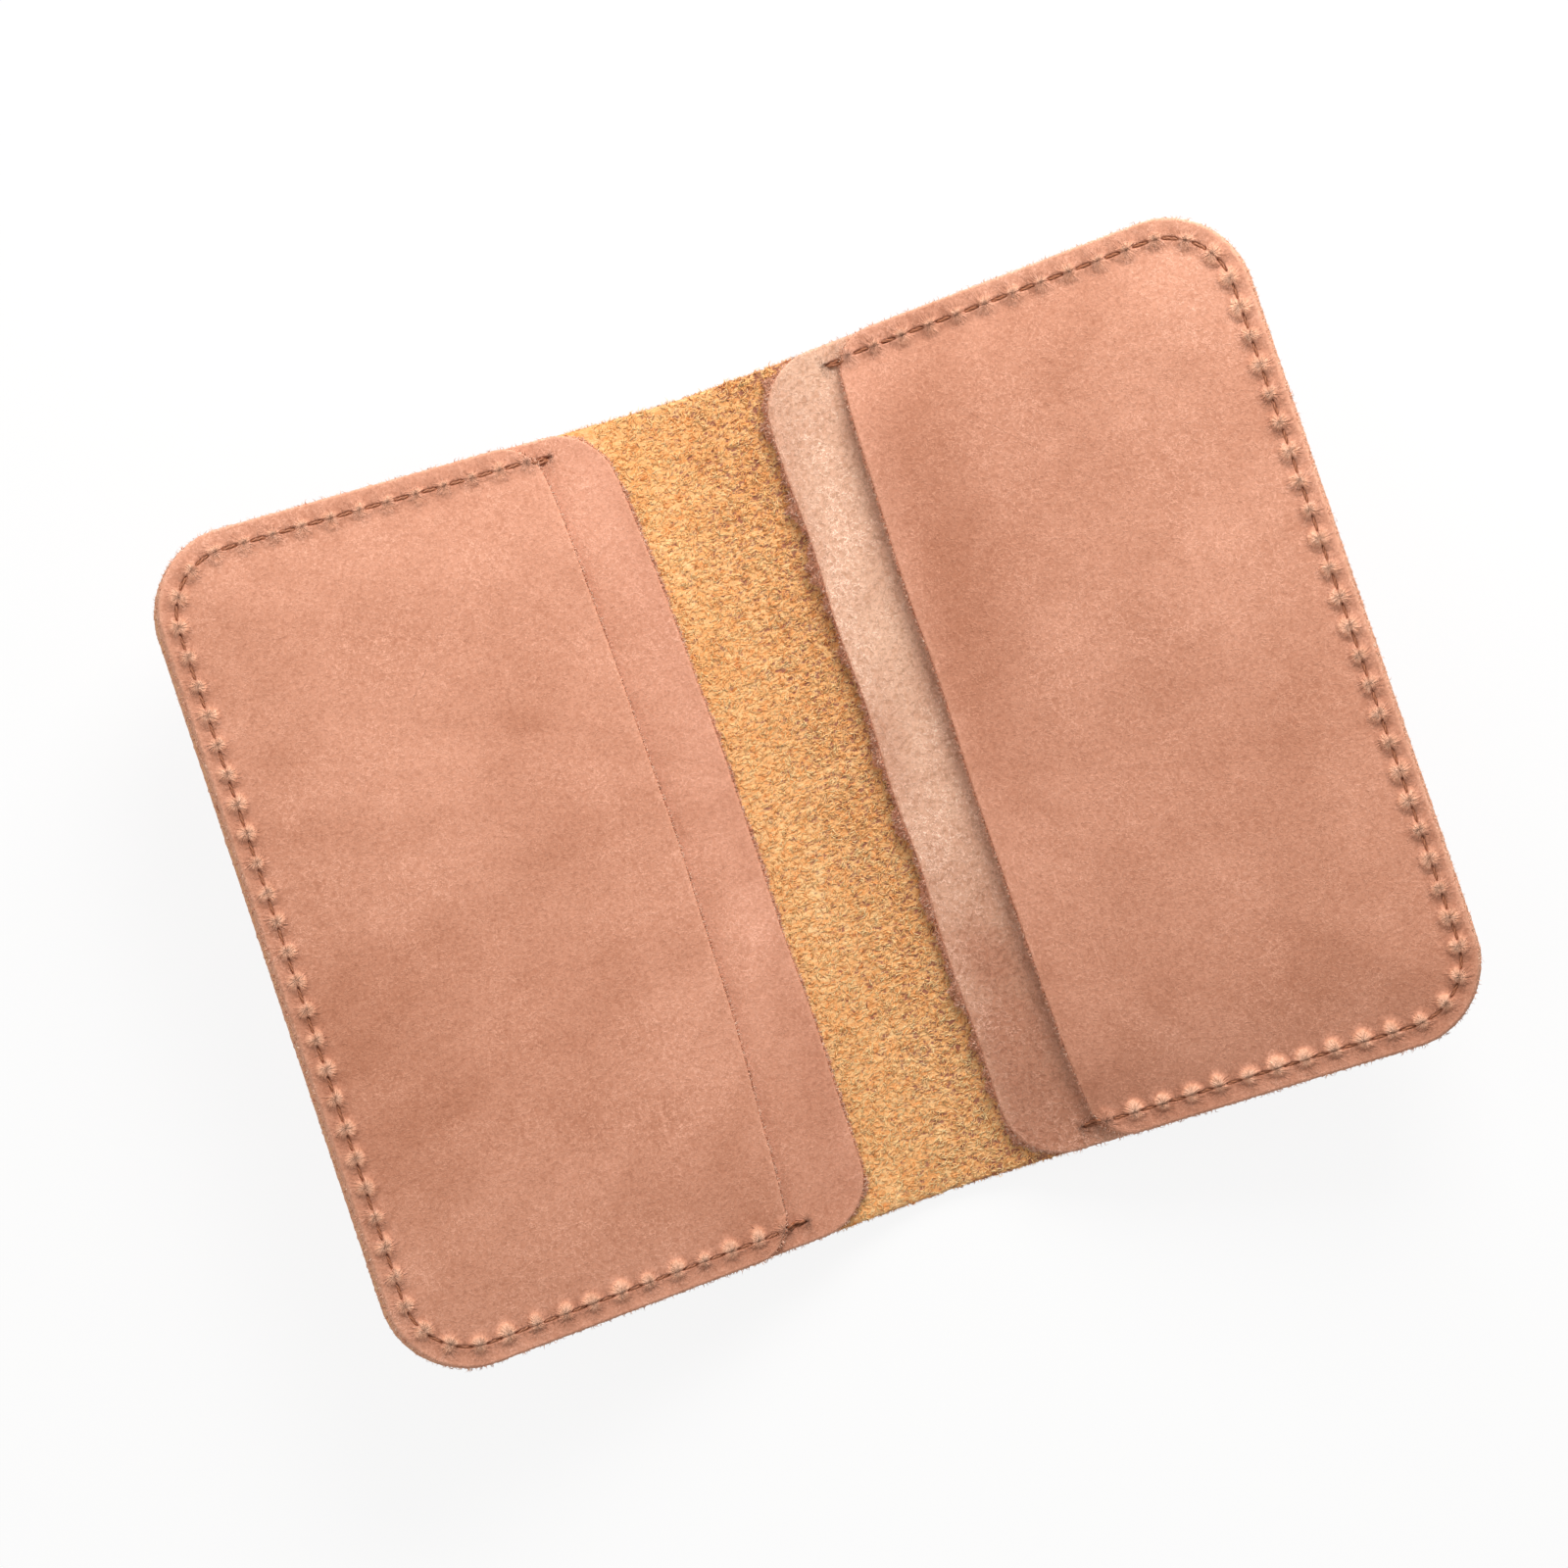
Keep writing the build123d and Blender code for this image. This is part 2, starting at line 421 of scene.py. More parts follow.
def flesh_side(name):
    """The flesh side left rough: matted ochre fibres, their pale streaks partly painted
    highlight, with painted shade in the dark gaps between them.
    """
    material, tree = new_material(name)
    where = millimetres(tree)
    noise = {}
    # each pattern's feature size in millimetres, how far it is drawn out, detail, roughness
    for pattern, size, stretch, detail, roughness in (
        ("streaks", 0.5, 2.0, 3, 0.7),
        ("gaps", 0.62, 1.5, 3, 0.75),
    ):
        combed = {"Vector": where, "Rotation": (0, 0, 0.6), "Scale": (1 / stretch, 1, 1)}
        combed = add(tree, "Mapping", combed)
        inputs = {"Vector": combed, "Scale": 1 / size, "Detail": detail, "Roughness": roughness}
        noise[pattern] = add(tree, "TexNoise", inputs)
    drift_size = 7
    inputs = {"Vector": where, "Scale": 1 / drift_size, "Detail": 2, "Roughness": 0.55}
    drift = add(tree, "TexNoise", inputs)
    # painted shade: the dark gaps show more towards the right half of the spine, as the oil value
    # falls
    pressed = add(tree, "Attribute", out="Fac", attribute_name="oil")
    pressed = add(tree, "Math", {0: pressed, 1: 0.07}, operation="MULTIPLY")
    painted_gap_shade = add(tree, "Math", {0: noise["gaps"], 1: pressed}, operation="ADD")
    colour = srgb("#EEA262")
    # pale streaks, partly painted highlight, and painted shade in the gaps between the fibres
    for pattern, low, high, most, tint in (
        (noise["streaks"], 0.35, 0.65, 1.0, "#FFD69C"),
        (drift, 0.35, 0.65, 0.4, "#DE9450"),
        (painted_gap_shade, 0.48, 0.38, 0.85, "#93574C"),
    ):
        amount = add(tree, "MapRange", {0: pattern, 1: low, 2: high, 3: 0.0, 4: most})
        colour = add(tree, "Mix", {0: amount, 6: colour, 7: srgb(tint)}, 2, data_type="RGBA")
    surface = {}
    for pattern, depth in (("streaks", 0.18), ("gaps", 0.22)):
        inputs = {"Height": noise[pattern], "Distance": depth * MM, "Strength": 1.0, **surface}
        surface = {"Normal": add(tree, "Bump", inputs)}
    finish = {"Base Color": colour, "Roughness": 0.95, "Specular IOR Level": 0.1, **surface}
    shader = add(tree, "BsdfPrincipled", finish)
    add(tree, "OutputMaterial", {"Surface": shader}, None)
    return material


def loose_fibres(name, colours):
    """Single leather fibres teased loose: dry and matt, each of one tone from dark to pale; the
    tones differ at random and also stand in for shaded and sunlit fibres, painted light and
    shade.
    """
    material, tree = new_material(name)
    tone = add(tree, "Attribute", out="Fac", attribute_name="tone")
    ramp = add(tree, "ValToRGB", {"Fac": tone}, None)
    ramp.color_ramp.elements[0].color = srgb(colours[0])
    ramp.color_ramp.elements[1].color = srgb(colours[-1])
    for i, colour in enumerate(colours[1:-1], 1):
        ramp.color_ramp.elements.new(i / (len(colours) - 1)).color = srgb(colour)
    finish = {"Base Color": ramp.outputs[0], "Roughness": 0.85, "Specular IOR Level": 0.15}
    shader = add(tree, "BsdfPrincipled", finish)
    add(tree, "OutputMaterial", {"Surface": shader}, None)
    return material


def waxed_thread(name):
    """Three-ply polyester thread, twisted and waxed: a soft shine, with painted shade between the
    plies and a painted highlight on their tops.

    Its filaments are finer than a twentieth of a millimetre. They are drawn as a fuzz of
    about an eighth, so that it shows.
    """
    material, tree = new_material(name)
    where = millimetres(tree)
    fuzz_size = 0.12
    inputs = {"Vector": where, "Scale": 1 / fuzz_size, "Detail": 2, "Roughness": 0.55}
    fuzz = add(tree, "TexNoise", inputs)
    ply_light_and_shade = add(tree, "Attribute", out="Fac", attribute_name="ply")
    fuzzy = add(tree, "MapRange", {0: fuzz, 1: 0.4, 2: 0.7, 3: 0.0, 4: 0.4})
    colour = srgb("#834A2F")
    for amount, tint in ((ply_light_and_shade, "#C07F5C"), (fuzzy, "#9A6042")):
        colour = add(tree, "Mix", {0: amount, 6: colour, 7: srgb(tint)}, 2, data_type="RGBA")
    finish = {
        "Base Color": colour,
        "Roughness": 0.5,
        "Specular IOR Level": 0.35,
        "Normal": add(tree, "Bump", {"Height": fuzz, "Distance": 0.03 * MM, "Strength": 1.0}),
    }
    shader = add(tree, "BsdfPrincipled", finish)
    add(tree, "OutputMaterial", {"Surface": shader}, None)
    return material


grain = oiled_leather("oiled_buffed_leather", "#C48467", "#F0B093", nap=1.0)
# the napped leather is paler, partly for its nap and partly as painted light against the shade
# that the right back panel lies in by the spine
napped_grain_painted_paler = oiled_leather("oiled_napped_leather", "#CE9276", "#FFD0B2", nap=2.0)
edge = cut_edge("knife_cut_edge", smooth="#FFBE9A", raw="#D49A7B", gap="#A06A50")
flesh = flesh_side("rough_flesh_side")
nap = loose_fibres("flesh_fibres", ("#9A5A50", "#F4A05A", "#FFBE78", "#FFCF8E", "#FFE0A8"))
frayed = loose_fibres("edge_fibres", ("#B47558", "#F0B090", "#FFE0C8"))
thread = waxed_thread("waxed_twisted_thread")


# ---- Leather panels ----
def cloud(u, v, size, seed):
    """Smooth random heights between about -1 and 1, in waves about size across."""
    random = np.random.default_rng(seed)
    height = 0
    for _ in range(7):
        angle, phase = random.uniform(0, 2 * pi, 2)
        turns = 2 * pi / (size * random.uniform(0.7, 1.5))
        height = height + np.sin((u * cos(angle) + v * sin(angle)) * turns + phase)
    return height / 3


def ease(share):
    """A share of 0 to 1, clipped, with a soft start and end."""
    share = np.clip(share, 0, 1)
    return share * share * (3 - 2 * share)


seam_start = front_mouth + mouth_hole_inset - stitch_pitch
seam_side = half_length - seam_side_margin
seam_end = end - seam_end_margin
end_run = seam_side - seam_corner - seam_start
side_run = seam_end - seam_corner
bend_run = seam_corner * pi / 2
seam_length = 2 * (end_run + bend_run + side_run)
stitches = round(seam_length / stitch_pitch)
pitch = seam_length / stitches


def seam_coordinates(u, v):
    """Distance along the seam from its first hole, and inwards from it."""
    corner_u = u - (seam_side - seam_corner)
    corner_v = np.abs(v) - side_run
    angle = np.arctan2(corner_u, corner_v)
    in_corner = (corner_u > 0) & (corner_v > 0)
    on_end = ~in_corner & (seam_end - np.abs(v) < seam_side - u)
    along = np.where(on_end, u - seam_start, end_run + bend_run - corner_v)
    along = np.where(in_corner, end_run + seam_corner * angle, along)
    inwards = np.where(on_end, seam_end - np.abs(v), seam_side - u)
    inwards = np.where(in_corner, seam_corner - np.hypot(corner_u, corner_v), inwards)
    return np.where(v < 0, seam_length - along, along), inwards


def seam_point(along):
    """The seam's place and direction at a distance along it."""
    near = np.minimum(along, seam_length - along)
    angle = np.clip((near - end_run) / seam_corner, 0, pi / 2)
    past = np.clip(near - end_run - bend_run, 0, None)
    before = np.clip(end_run - near, 0, None)
    u = seam_side - seam_corner + seam_corner * np.sin(angle) - before
    v = side_run + seam_corner * np.cos(angle) - past
    first = along < seam_length / 2
    du = np.cos(angle)
    dv = -np.sin(angle)
    return u, np.where(first, v, -v), np.where(first, du, -du), dv


def stitch_relief(u, v, seed):
    """How far tight stitches move the leather, and how each point lies about its nearest hole.

    Two half-domes, one inside the seam and one outside, nearly meet over each hole. Between
    holes the thread lies in a narrow groove, and the whole seam lies in a shallow valley.
    The inner half-domes are highest along the lower end, where the hide is stretchy, and
    rise little more than half as high along the upper end, where it is firm.
    """
    along, inwards = seam_coordinates(u, v)
    number = np.clip(np.round(along / pitch), 0, stitches).astype(int)
    random = np.random.default_rng(seed)
    swell = random.uniform(0.8, 1.2, (2, stitches + 1))[:, number]
    shift = random.uniform(-0.2, 0.2, (2, stitches + 1))[:, number]
    from_hole = along - number * pitch
    near = np.minimum(along, seam_length - along)
    on_side = np.clip((near - end_run) / bend_run, 0, 1)
    inner = inwards > 0
    upper_end = np.clip((v - side_run) / seam_corner, 0, 1)
    lower_end = np.clip((-v - side_run) / seam_corner, 0, 1)
    inner_width = (dome_widths[0] + 0.25 * lower_end) * swell[0]
    outer_width = (dome_widths[1] + 0.3 * on_side) * swell[1]
    width = np.where(inner, inner_width, outer_width)
    length = np.where(inner, *dome_lengths) * np.where(inner, swell[1], swell[0])
    off_seam = np.clip(np.abs(inwards) / 0.5, 0, 1)
    moved = from_hole - np.where(inner, shift[0], shift[1]) * off_seam
    # the first stitches, over the pocket's mouth, pull less
    height = np.where(inner, *dome_heights) * np.clip((near / pitch - 0.5) / 1.5, 0.15, 1)
    height = height * np.where(inner, 1 - 0.45 * upper_end + 0.15 * lower_end, 1)
    dome = height * np.clip(1 - (moved / length) ** 2 - (inwards / width) ** 2, 0, 1) ** 0.6
    crease = 0.22 * dome * np.exp(-((inwards / crease_width) ** 2))
    # the doubled first stitch lies in a slit open almost to its hole
    closed_to = np.where(near < pitch / 2, 0.1, 0.72)
    open_slit = ease((np.abs(from_hole) - closed_to) / 0.22)
    groove_width = 0.125 + 0.05 * upper_end
    groove = (dome + groove_depth) * np.exp(-((inwards / groove_width) ** 2)) * open_slit
    valley = valley_depth * np.exp(-((inwards / valley_width) ** 2))
    begun = np.clip(along / 0.6 + 0.8, 0, 1)
    on_seam = begun * np.clip((seam_length - along) / 0.6 + 0.8, 0, 1)
    # how much of a hole's pull reaches each point
    knot = np.clip(1.2 - np.hypot(from_hole, inwards) / 1.6, 0, 1) * on_seam
    shape = (dome - crease - groove - valley) * on_seam
    return shape, {"relief": shape, "along": from_hole, "inward": inwards, "knot": knot}


def oil(side, u, v):
    """How much paler the clouds of a half make it, and below 0 how much darker: oil clouds, and
    among them painted light and shade.
    """
    tone = 0
    for middle_u, middle_v, reach_u, reach_v, depth in oil_and_light_clouds[side]:
        far_u = (u - middle_u) / reach_u
        far_v = (v - middle_v) / reach_v
        tone = tone + depth * np.exp(-(far_u**2) - far_v**2)
    return tone


def fullness(u, v, mouth):
    """0 on the stitched rim, rising to 1 in the field, most of all at the mouth."""
    flat_rim = 0.8
    rim_reach = 6.0
    mouth_reach = 20
    _, inwards = seam_coordinates(u, v)
    pillow = 1 - np.exp(-((np.clip(inwards - flat_rim, 0, None) / rim_reach) ** 1.4))
    return pillow * (0.55 + 0.45 * np.exp(-np.clip(u - mouth, 0, None) / mouth_reach))


def cut_line(start, mouth_corner):
    """Points and outward normals round a panel's cut edge, from the middle of its -v end."""
    corners = (
        (half_length - outer_corner, -end + outer_corner, outer_corner, -pi / 2),
        (half_length - outer_corner, end - outer_corner, outer_corner, 0),
        (start + mouth_corner, end - mouth_corner, mouth_corner, pi / 2),
        (start + mouth_corner, -end + mouth_corner, mouth_corner, pi),
    )
    points = []
    normals = []
    for (u, v, radius, angle), following in zip(corners, corners[1:] + corners[:1]):
        count = 4 * max(1, round(radius * pi / 2 / edge_step / 4))
        for turn in angle + np.arange(count) / count * pi / 2:
            points.append((u + radius * cos(turn), v + radius * sin(turn)))
            normals.append((cos(turn), sin(turn)))
        turn = angle + pi / 2
        normal = (cos(turn), sin(turn))
        first = np.array((u + radius * cos(turn), v + radius * sin(turn)))
        u, v, radius, _ = following
        last = np.array((u + radius * cos(turn), v + radius * sin(turn)))
        count = 4 * max(1, round(np.hypot(*(last - first)) / edge_step / 4))
        points += [first + (last - first) * i / count for i in range(count)]
        normals += [normal] * count
    points = np.array(points)
    normals = np.array(normals)
    middle = (start + half_length) / 2
    first = np.argmin(np.hypot(points[:, 0] - middle, points[:, 1] + end))
    first -= first % 4
    return np.roll(points, -first, axis=0), np.roll(normals, -first, axis=0)


# Rings of points follow the cut edge near it, and the seam where the stitches pull.
edge_insets = (0, 0.08, 0.18, 0.32, 0.46)
seam_offsets = (-1.3, -1.1, -0.9, -0.7, -0.53, -0.38, -0.26, -0.16, -0.08, 0)
seam_offsets += tuple(-offset for offset in seam_offsets[-2::-1]) + (1.5, 1.7)
plain_insets = (0, 0.1, 0.5, 1.5, 3.0)
wall_steps = (0.18, 0.38, 0.6, 0.82)


def rim_insets(points):
    """How far in from a cut edge each ring of points lies."""
    to_seam = np.clip(-seam_coordinates(*points.T)[1], seam_side_margin, seam_end_margin)
    rings = [np.full(len(points), inset) for inset in edge_insets]
    return rings + [to_seam + offset for offset in seam_offsets]


class Shell:
    """Rings of points and the faces between them, gathered into one mesh."""

    values = ("relief", "along", "inward", "knot", "oil", "worn", "raw", "tone", "ply")

    def __init__(self):
        self.points = []
        self.faces = []
        self.slots = []
        self.parts = {name: [] for name in self.values}
        self.count = 0

    def add_points(self, points, **values):
        """Add points with the values that their material reads, and give their numbers."""
        first = self.count
        self.points.append(points)
        self.count += len(points)
        for name in self.values:
            self.parts[name].append(np.broadcast_to(values.get(name, 0.0), len(points)))
        return np.arange(first, self.count)

    def add_faces(self, faces, slot):
        self.faces += faces
        self.slots += [slot] * len(faces)

    def join_rings(self, a, b, slot, closed=True):
        """Quads between equal rings, or three triangles a step where one has half the points."""
        a = list(a)
        b = list(b)
        if closed:
            a += a[:1]
            b += b[:1]
        if len(a) == len(b):
            self.add_faces([(a[i], a[i + 1], b[i + 1], b[i]) for i in range(len(a) - 1)], slot)
            return
        flip = len(b) > len(a)
        many, few = (b, a) if flip else (a, b)
        made = []
        for i in range(len(few) - 1):
            one, two, three = many[2 * i : 2 * i + 3]
            made += [(one, two, few[i]), (two, few[i + 1], few[i]), (two, three, few[i + 1])]
        self.add_faces([face[::-1] for face in made] if flip else made, slot)

    def piece(self, name, materials, node):
        """Make the object, merging the points that meet, and let it stand for its CAD node."""
        mesh = bpy.data.meshes.new(name)
        mesh.from_pydata(np.concatenate(self.points).tolist(), [], self.faces)
        mesh.polygons.foreach_set("material_index", self.slots)
        mesh.polygons.foreach_set("use_smooth", [True] * len(self.faces))
        for value, parts in self.parts.items():
            stored = mesh.attributes.new(value, "FLOAT", "POINT")
            stored.data.foreach_set("value", np.concatenate(parts).astype(np.float32))
        for material in materials:
            mesh.materials.append(material)
        welded = bmesh.new()
        welded.from_mesh(mesh)
        bmesh.ops.remove_doubles(welded, verts=welded.verts, dist=1e-7)
        bmesh.ops.recalc_face_normals(welded, faces=welded.faces)
        welded.to_mesh(mesh)
        welded.free()
        made = bpy.data.objects.new(name, mesh)
        bpy.context.scene.collection.objects.link(made)
        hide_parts(node)
        return made


def edge_drop(inset, radius):
    """How far a rounded edge lies under its face at an inset from the cut."""
    reach = np.clip(radius - inset, 0, None)
    return radius - np.sqrt(radius**2 - reach**2)


class Panel:
    """One flat-cut leather panel: its cut line, its bowed mouth and where its edge is raw."""

    def __init__(self, side, start, mouth_corner, bow, skive, seed):
        self.side = side
        self.start = start
        self.bow = bow
        self.seed = seed
        self.points, self.normals = cut_line(start, mouth_corner)
        # only the mouth, between its corners, is skived and left raw
        self.raw = np.clip(-self.normals[:, 0] * 2 - 0.6, 0, 1)
        lumps = 0.5 + 0.5 * cloud(*self.points.T, 7.0, seed)
        lumps = lumps + 0.35 * cloud(*self.points.T, 1.6, seed + 1)
        self.skive = self.raw * skive * np.clip(lumps, 0.12, 1.5)
        self.insets = rim_insets(self.points)

    def bowed(self, uv):
        """Points moved as the mouth's middle bows out of line."""
        out = uv.copy()
        towards_end = (uv[:, 1] / end) ** 2
        at_low, at_middle, at_high = self.bow
        bow = at_middle + (np.where(uv[:, 1] > 0, at_high, at_low) - at_middle) * towards_end
        wave = mouth_wave * cloud(0 * uv[:, 0], uv[:, 1], 24, self.seed)
        from_mouth = np.clip(uv[:, 0] - self.start, 0, None)
        out[:, 0] -= (bow + wave) * np.exp(-from_mouth / bow_reach)
        return out

    def inwards(self, inset):
        """The cut edge's points moved straight in from it."""
        return self.points - np.reshape(inset, (-1, 1)) * self.normals

    def towards_middle(self, share):
        """Every second point, from the innermost rim ring to the panel's middle line."""
        inner = self.inwards(self.insets[-1])[::2]
        reach = end - (half_length - self.start) / 2
        aim = np.clip(inner[:, 1] * 1.02 / end, -1, 1) * reach
        aim = (aim + np.roll(aim[::-1], 1)) / 2
        target = np.column_stack((np.full(len(inner), (self.start + half_length) / 2), aim))
        return inner + (target - inner) * share


middle_shares = (1, 0.9, 0.8, 0.7, 0.6, 0.5, 0.41, 0.32, 0.24, 0.16, 0.09, 0.03)


def leather_sheet(shell, panel, top, bottom, stitched):
    """A panel from the middle of its top face, over the cut edge, to the middle below.

    top and bottom give the heights at (u, v), and stitched where the stitches pull the top.
    """
    side = panel.side

    def upper_ring(uv, drop=0.0, worn=0.0):
        u, v = panel.bowed(uv).T
        pull = stitched(u)
        height, values = stitch_relief(u, v, panel.seed)
        values["relief"] = height * pull
        values["knot"] = values["knot"] * pull
        w = top(*uv.T) + height * pull + drop
        return shell.add_points(place(side, u, v, w), oil=oil(side, u, v), worn=worn, **values)

    def lower_ring(uv, lift=0.0):
        u, v = panel.bowed(uv).T
        return shell.add_points(place(side, u, v, bottom(*uv.T) + lift), oil=oil(side, u, v))

    previous = upper_ring(panel.towards_middle(middle_shares[0]))
    for share in middle_shares[1:]:
        current = upper_ring(panel.towards_middle(share))
        shell.join_rings(previous, current, upper_slot)
        previous = current
    for inset in reversed(panel.insets):
        # the rim is rubbed pale and painted with a highlight where its rounding catches light
        worn = np.exp(-inset / wear_reach)
        current = upper_ring(panel.inwards(inset), -edge_drop(inset, bevel), worn)
        shell.join_rings(previous, current, upper_slot)
        previous = current
    points = panel.points
    high = top(*points.T) - bevel
    low = bottom(*points.T) + under_bevel
    random = np.random.default_rng(panel.seed)
    for step in wall_steps:
        proud = cut_roughness * random.normal(size=len(points)) * (1 + panel.raw)
        proud = proud + panel.skive * step**0.8 + cut_swell
        u, v = panel.bowed(points + proud[:, None] * panel.normals).T
        current = shell.add_points(place(side, u, v, high + (low - high) * step), raw=panel.raw)
        shell.join_rings(previous, current, cut_slot)
        previous = current
    for inset in plain_insets:
        # the skived mouth runs out under the grain, and less so further in
        flared = panel.skive * np.exp(-inset / 0.8)
        current = lower_ring(panel.inwards(inset - flared), edge_drop(inset, under_bevel))
        shell.join_rings(previous, current, cut_slot if inset == 0 else under_slot)
        previous = current
    for share in reversed(middle_shares):
        current = lower_ring(panel.towards_middle(share))
        shell.join_rings(previous, current, under_slot)
        previous = current


def fibres(shell, side, root, heading, length, width, tone):
    """Thin three-sided fibres, each with one bend, from their roots (u, v, w) along a heading."""
    root = np.column_stack(root)
    heading = np.column_stack(heading)
    heading /= np.linalg.norm(heading, axis=1)[:, None]
    across = np.column_stack((-heading[:, 1], heading[:, 0], np.zeros(len(root))))
    across /= np.linalg.norm(across, axis=1)[:, None]
    upwards = np.cross(heading, across)
    random = np.random.default_rng(len(root))
    curl = random.normal(0, 0.22, len(root)) * length
    bend = root + heading * (length * 0.5)[:, None] + across * curl[:, None]
    # every fibre settles back towards the face past its bend
    tip = root + heading * length[:, None] - upwards * (0.12 * length)[:, None]
    corners = []
    for middle, radius in ((root, width / 2), (bend, width * 0.4)):
        for turn in (0, 2 * pi / 3, 4 * pi / 3):
            corners.append(middle + radius * (cos(turn) * across + sin(turn) * upwards))
    corners.append(tip)
    count = len(root)
    placed = np.concatenate([place(side, *corner.T) for corner in corners])
    first = shell.add_points(placed, tone=np.tile(tone, len(corners)))[0]
    faces = []
    for i in range(first, first + count):
        a, b, c, d, e, f, point = (i + count * corner for corner in range(len(corners)))
        faces += [(a, b, e, d), (b, c, f, e), (c, a, d, f)]
        faces += [(d, e, point), (e, f, point), (f, d, point), (c, b, a)]
    shell.add_faces(faces, fibre_slot)


def fray(shell, panel, top, bottom):
    """Short loose fibres standing out of a panel's cut edge, most of them at its mouth."""
    random = np.random.default_rng(panel.seed + 7)
    chance = 0.12 + panel.raw
    count = int(chance.sum() * edge_step * fray_per_mm)
    pick = random.choice(len(panel.points), count, p=chance / chance.sum())
    points = panel.points[pick]
    nu, nv = panel.normals[pick].T
    sunk = random.uniform(0, 1, count)
    out = panel.skive[pick] * sunk**0.8 - 0.1
    u, v = panel.bowed(points + out[:, None] * panel.normals[pick]).T
    high = top(*points.T) - 0.2
    low = bottom(*points.T) + 0.1
    w = high + (low - high) * sunk
    swing = random.normal(0, 1.1, count)
    heading = (nu - nv * swing, nv + nu * swing, random.normal(0.1, 0.4, count))
    length = random.uniform(0.25, 0.75, count)
    tone = random.uniform(0, 1, count)
    fibres(shell, panel.side, (u, v, w), heading, length, fray_width, tone)


# ---- Pocket panels ----
def back_face(u, v):
    """The height of a back panel's underside, on the cover."""
    return back_fullness * fullness(u, v, back_mouth) * (1 + 0.22 * cloud(u, v, 30, 11))


def front_face(side):
    """The height of a front panel's underside, on the back panel."""

    def face(u, v):
        full = fullness(u, v, front_mouth)
        return panel_thickness + full * (front_fullness[side] + 0.12 * cloud(u, v, 34, 12))

    return face


def make_pocket(side_name, side, layer, seed):
    """One pocket panel, its top face pulled in where its own stitches show."""
    if layer == "front":
        start = front_mouth
        corner = front_mouth_corner
        under = front_face(side)
        skive = front_skive
    else:
        start = back_mouth
        corner = back_mouth_corner
        under = back_face
        skive = back_skive[side]

    def top(u, v):
        return under(u, v) + panel_thickness

    def stitched(u):
        return 1.0 if layer == "front" else np.clip((front_mouth - u) / 0.4 + 1.6, 0, 1)

    panel = Panel(side, start, corner, mouth_bows[f"{side_name}_{layer}"], skive, seed)
    shell = Shell()
    leather_sheet(shell, panel, top, under, stitched)
    fray(shell, panel, top, under)
    name = f"{side_name}_{layer}_pocket"
    # the right back panel is paler, partly painted light
    face = napped_grain_painted_paler if (layer, side) == ("back", 1) else grain
    made = shell.piece(f"{name}_leather", (face, edge, grain, frayed), name)
    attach(made, f"{side_name}_half")


for side_name, side, seed in (("left", -1, 20), ("right", 1, 40)):
    make_pocket(side_name, side, "back", seed)
    make_pocket(side_name, side, "front", seed + 1)


# ---- Cover ----
def cover_line():
    """Points and outward normals of half the cover's cut edge, open at the spine's middle."""
    step = edge_step * 1.2
    corner_u = half_length - outer_corner
    corner_v = end - outer_corner
    count = int((corner_u - spine_middle) / step / 2) * 2
    straight = np.linspace(spine_middle, corner_u, count, endpoint=False)
    arc = np.linspace(-pi / 2, 0, 2 * round(outer_corner * pi / 4 / step), endpoint=False)
    side_line = np.linspace(-corner_v, 0, int(corner_v / step / 2) * 2 + 1)
    flat = np.ones(len(side_line))
    u = np.concatenate((straight, corner_u + outer_corner * np.cos(arc), half_length * flat))
    v = np.concatenate((np.full(count, -end), -corner_v + outer_corner * np.sin(arc), side_line))
    nu = np.concatenate((np.zeros(count), np.cos(arc), flat))
    nv = np.concatenate((np.full(count, -1.0), np.sin(arc), 0 * flat))
    points = np.column_stack((np.append(u, u[-2::-1]), np.append(v, -v[-2::-1])))
    return points, np.column_stack((np.append(nu, nu[-2::-1]), np.append(nv, -nv[-2::-1])))


